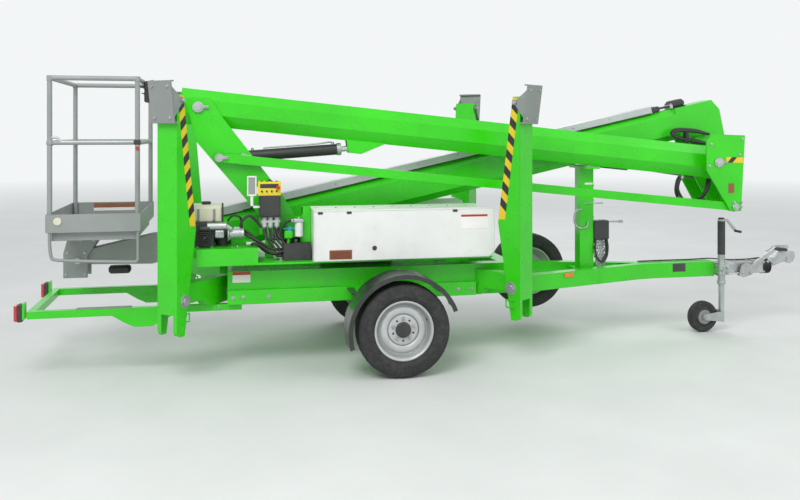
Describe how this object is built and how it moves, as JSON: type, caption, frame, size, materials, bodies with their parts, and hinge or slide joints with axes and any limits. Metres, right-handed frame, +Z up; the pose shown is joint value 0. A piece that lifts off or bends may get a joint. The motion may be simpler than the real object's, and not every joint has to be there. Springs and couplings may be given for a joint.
{
  "type": "towable articulating boom lift",
  "caption": "Towable articulating boom lift, folded for the road: two-axis boom with telescoping tip, work basket, trailer chassis with folding outriggers.",
  "frame": {"origin": "on the ground under the middle of the overall length and width", "axes": "+X forward to the coupling, +Y to the left, +Z up"},
  "size_m": [6.305, 1.908, 2.082],
  "materials": {
    "green_paint": "gloss green paint on steel",
    "grey_paint": "satin grey paint on steel",
    "dark_paint": "black paint on steel",
    "silver_steel": "silver painted steel wheel",
    "foot_steel": "grey galvanised folded plate",
    "galvanised": "galvanised steel",
    "chrome_rod": "hard chromed rod",
    "hose_tray_alloy": "bare aluminium tray",
    "tyre": "black tyre rubber",
    "jockey_tyre": "solid black rubber wheel",
    "guard_plastic": "black mudguard",
    "black_plastic": "black housings",
    "white_panel": "white covers",
    "cream_plastic": "cream tank",
    "yellow_plastic": "yellow control panel",
    "lamp_plastic": "red lamp lens",
    "engine_iron": "dark engine castings"
  },
  "bodies": {
    "trailer": {"chassis_frame": "green_paint", "axle": "dark_paint", "mudguards": "guard_plastic", "drawbar": "green_paint", "hitch_tube": "galvanised", "coupling_head": "galvanised", "brake_lever": "galvanised", "jockey_tube": "galvanised", "spare_tyre": "tyre", "spare_rim": "silver_steel", "rear_frame": "green_paint", "tail_lamps": "lamp_plastic", "slew_ring": "dark_paint", "turret_deck": "green_paint", "king_post": "green_paint", "cover_right": "white_panel", "cover_left": "white_panel", "batteries": "black_plastic", "engine": "engine_iron", "fuel_tank": "cream_plastic", "control_stand": "green_paint", "control_box": "black_plastic", "control_panel": "yellow_plastic", "valve_box": "black_plastic", "boom_rest": "green_paint"},
    "road_wheel_right": {"tyre_right": "tyre", "rim_right": "silver_steel"},
    "road_wheel_left": {"tyre_left": "tyre", "rim_left": "silver_steel"},
    "jockey_swivel": {"jockey_fork": "galvanised"},
    "jockey_roller": {"jockey_wheel": "jockey_tyre"},
    "right_door": {"door_right": "white_panel"},
    "left_door": {"door_left": "white_panel"},
    "lower_arm": {"lower_boom": "green_paint"},
    "levelling_rod": {"tie_rod": "green_paint"},
    "knuckle_head": {"knuckle": "green_paint"},
    "lower_barrel": {"lower_ram_barrel": "dark_paint"},
    "lower_rod": {"lower_ram_rod": "chrome_rod"},
    "upper_arm": {"upper_boom": "green_paint", "hose_tray": "hose_tray_alloy"},
    "upper_barrel": {"upper_ram_barrel": "dark_paint"},
    "upper_rod": {"upper_ram_rod": "chrome_rod"},
    "fly": {"fly_boom": "grey_paint"},
    "work_basket": {"basket_bracket": "grey_paint", "basket_tray": "grey_paint", "basket_frame": "grey_paint", "basket_console": "black_plastic"},
    "leg_rear_right": {"outrigger_rear_right": "green_paint"},
    "pad_rear_right": {"foot_rear_right": "foot_steel"},
    "leg_rear_left": {"outrigger_rear_left": "green_paint"},
    "pad_rear_left": {"foot_rear_left": "foot_steel"},
    "leg_front_right": {"outrigger_front_right": "green_paint"},
    "pad_front_right": {"foot_front_right": "foot_steel"},
    "leg_front_left": {"outrigger_front_left": "green_paint"},
    "pad_front_left": {"foot_front_left": "foot_steel"}
  },
  "joints": [
    {"name": "road_wheel_right_spin", "type": "hinge", "parent": "trailer", "child": "road_wheel_right", "pos_m": [-0.545, -0.836, 0.327], "axis": [0, 1, 0], "continuous": true},
    {"name": "road_wheel_left_spin", "type": "hinge", "parent": "trailer", "child": "road_wheel_left", "pos_m": [-0.545, 0.836, 0.327], "axis": [0, 1, 0], "continuous": true},
    {"name": "jockey_swivel_turn", "type": "hinge", "parent": "trailer", "child": "jockey_swivel", "pos_m": [2.39, -0.1, 0.5], "axis": [0, 0, 1], "continuous": true},
    {"name": "jockey_wheel_spin", "type": "hinge", "parent": "jockey_swivel", "child": "jockey_roller", "pos_m": [2.21, -0.1, 0.13], "axis": [0, 1, 0], "continuous": true},
    {"name": "right_door_hinge", "type": "hinge", "parent": "trailer", "child": "right_door", "pos_m": [-0.473, -0.631, 1.141], "axis": [-1, 0, 0], "range_deg": [0, 100]},
    {"name": "left_door_hinge", "type": "hinge", "parent": "trailer", "child": "left_door", "pos_m": [-0.473, 0.631, 1.141], "axis": [1, 0, 0], "range_deg": [0, 100]},
    {"name": "rear_right_outrigger_swing", "type": "hinge", "parent": "trailer", "child": "leg_rear_right", "pos_m": [-2.078, -0.701, 0.56], "axis": [0.788, -0.6157, 0], "range_deg": [0, 108.14]},
    {"name": "rear_right_foot_swivel", "type": "hinge", "parent": "leg_rear_right", "child": "pad_rear_right", "pos_m": [-2.1057, -0.73646, 1.905], "axis": [0.788, -0.6157, 0], "range_deg": [-26.64, 0]},
    {"name": "rear_left_outrigger_swing", "type": "hinge", "parent": "trailer", "child": "leg_rear_left", "pos_m": [-2.078, 0.701, 0.56], "axis": [-0.788, -0.6157, 0], "range_deg": [0, 108.14]},
    {"name": "rear_left_foot_swivel", "type": "hinge", "parent": "leg_rear_left", "child": "pad_rear_left", "pos_m": [-2.1057, 0.73646, 1.905], "axis": [-0.788, -0.6157, 0], "range_deg": [-26.64, 0]},
    {"name": "front_right_outrigger_swing", "type": "hinge", "parent": "trailer", "child": "leg_front_right", "pos_m": [0.341, -0.701, 0.56], "axis": [0.788, 0.6157, 0], "range_deg": [0, 108.14]},
    {"name": "front_right_foot_swivel", "type": "hinge", "parent": "leg_front_right", "child": "pad_front_right", "pos_m": [0.3687, -0.73646, 1.905], "axis": [0.788, 0.6157, 0], "range_deg": [-26.64, 0]},
    {"name": "front_left_outrigger_swing", "type": "hinge", "parent": "trailer", "child": "leg_front_left", "pos_m": [0.341, 0.701, 0.56], "axis": [-0.788, 0.6157, 0], "range_deg": [0, 108.14]},
    {"name": "front_left_foot_swivel", "type": "hinge", "parent": "leg_front_left", "child": "pad_front_left", "pos_m": [0.3687, 0.73646, 1.905], "axis": [-0.788, 0.6157, 0], "range_deg": [-26.64, 0]},
    {"name": "lower_lift", "type": "hinge", "parent": "trailer", "child": "lower_arm", "pos_m": [-1.945, -0.16, 1.876], "axis": [0, -1, 0], "range_deg": [0, 80]},
    {"name": "levelling_rod_swing", "type": "hinge", "parent": "trailer", "child": "levelling_rod", "pos_m": [-1.795, -0.31, 1.508], "axis": [0, -1, 0], "range_deg": [0, 81]},
    {"name": "knuckle_level", "type": "hinge", "parent": "lower_arm", "child": "knuckle_head", "pos_m": [2.20261, -0.16, 1.44446], "axis": [0, 1, 0], "range_deg": [0, 81]},
    {"name": "lower_cylinder_swing", "type": "hinge", "parent": "trailer", "child": "lower_barrel", "pos_m": [-1.62, -0.16, 1.512], "axis": [0, -1, 0], "range_deg": [0, 80.01]},
    {"name": "lower_cylinder_stroke", "type": "slide", "parent": "lower_barrel", "child": "lower_rod", "axis": [0.9975, 0, 0.0711], "range_m": [0, 0.63204]},
    {"name": "upper_lift", "type": "hinge", "parent": "knuckle_head", "child": "upper_arm", "pos_m": [2.37261, 0.07, 1.61346], "axis": [0, 1, 0], "range_deg": [0, 80]},
    {"name": "upper_cylinder_swing", "type": "hinge", "parent": "knuckle_head", "child": "upper_barrel", "pos_m": [2.30761, 0.07, 1.32446], "axis": [0, 1, 0], "range_deg": [0, 69.49]},
    {"name": "upper_cylinder_stroke", "type": "slide", "parent": "upper_barrel", "child": "upper_rod", "axis": [-0.9894, 0, 0.1451], "range_m": [0, 0.33675]},
    {"name": "telescope", "type": "slide", "parent": "upper_arm", "child": "fly", "axis": [-0.9763, 0, -0.2166], "range_m": [0, 2.3]},
    {"name": "basket_level", "type": "hinge", "parent": "fly", "child": "work_basket", "pos_m": [-2.816, 0.07, 0.745], "axis": [0, -1, 0], "range_deg": [0, 81]}
  ],
  "couplings": [
    {"joint": "levelling_rod_swing", "follows": "lower_lift", "ratio": 1},
    {"joint": "knuckle_level", "follows": "lower_lift", "ratio": 1},
    {"joint": "lower_cylinder_swing", "follows": "lower_lift", "ratio": 0.98765},
    {"joint": "lower_cylinder_stroke", "follows": "lower_lift", "m_per_rad": 0.44908},
    {"joint": "upper_cylinder_swing", "follows": "upper_lift", "ratio": 0.85613},
    {"joint": "upper_cylinder_stroke", "follows": "upper_lift", "m_per_rad": 0.2376},
    {"joint": "basket_level", "follows": "upper_lift", "ratio": 1},
    {"joint": "rear_right_foot_swivel", "follows": "rear_right_outrigger_swing", "ratio": -0.24172},
    {"joint": "rear_left_foot_swivel", "follows": "rear_left_outrigger_swing", "ratio": -0.24172},
    {"joint": "front_right_foot_swivel", "follows": "front_right_outrigger_swing", "ratio": -0.24172},
    {"joint": "front_left_foot_swivel", "follows": "front_left_outrigger_swing", "ratio": -0.24172}
  ]
}
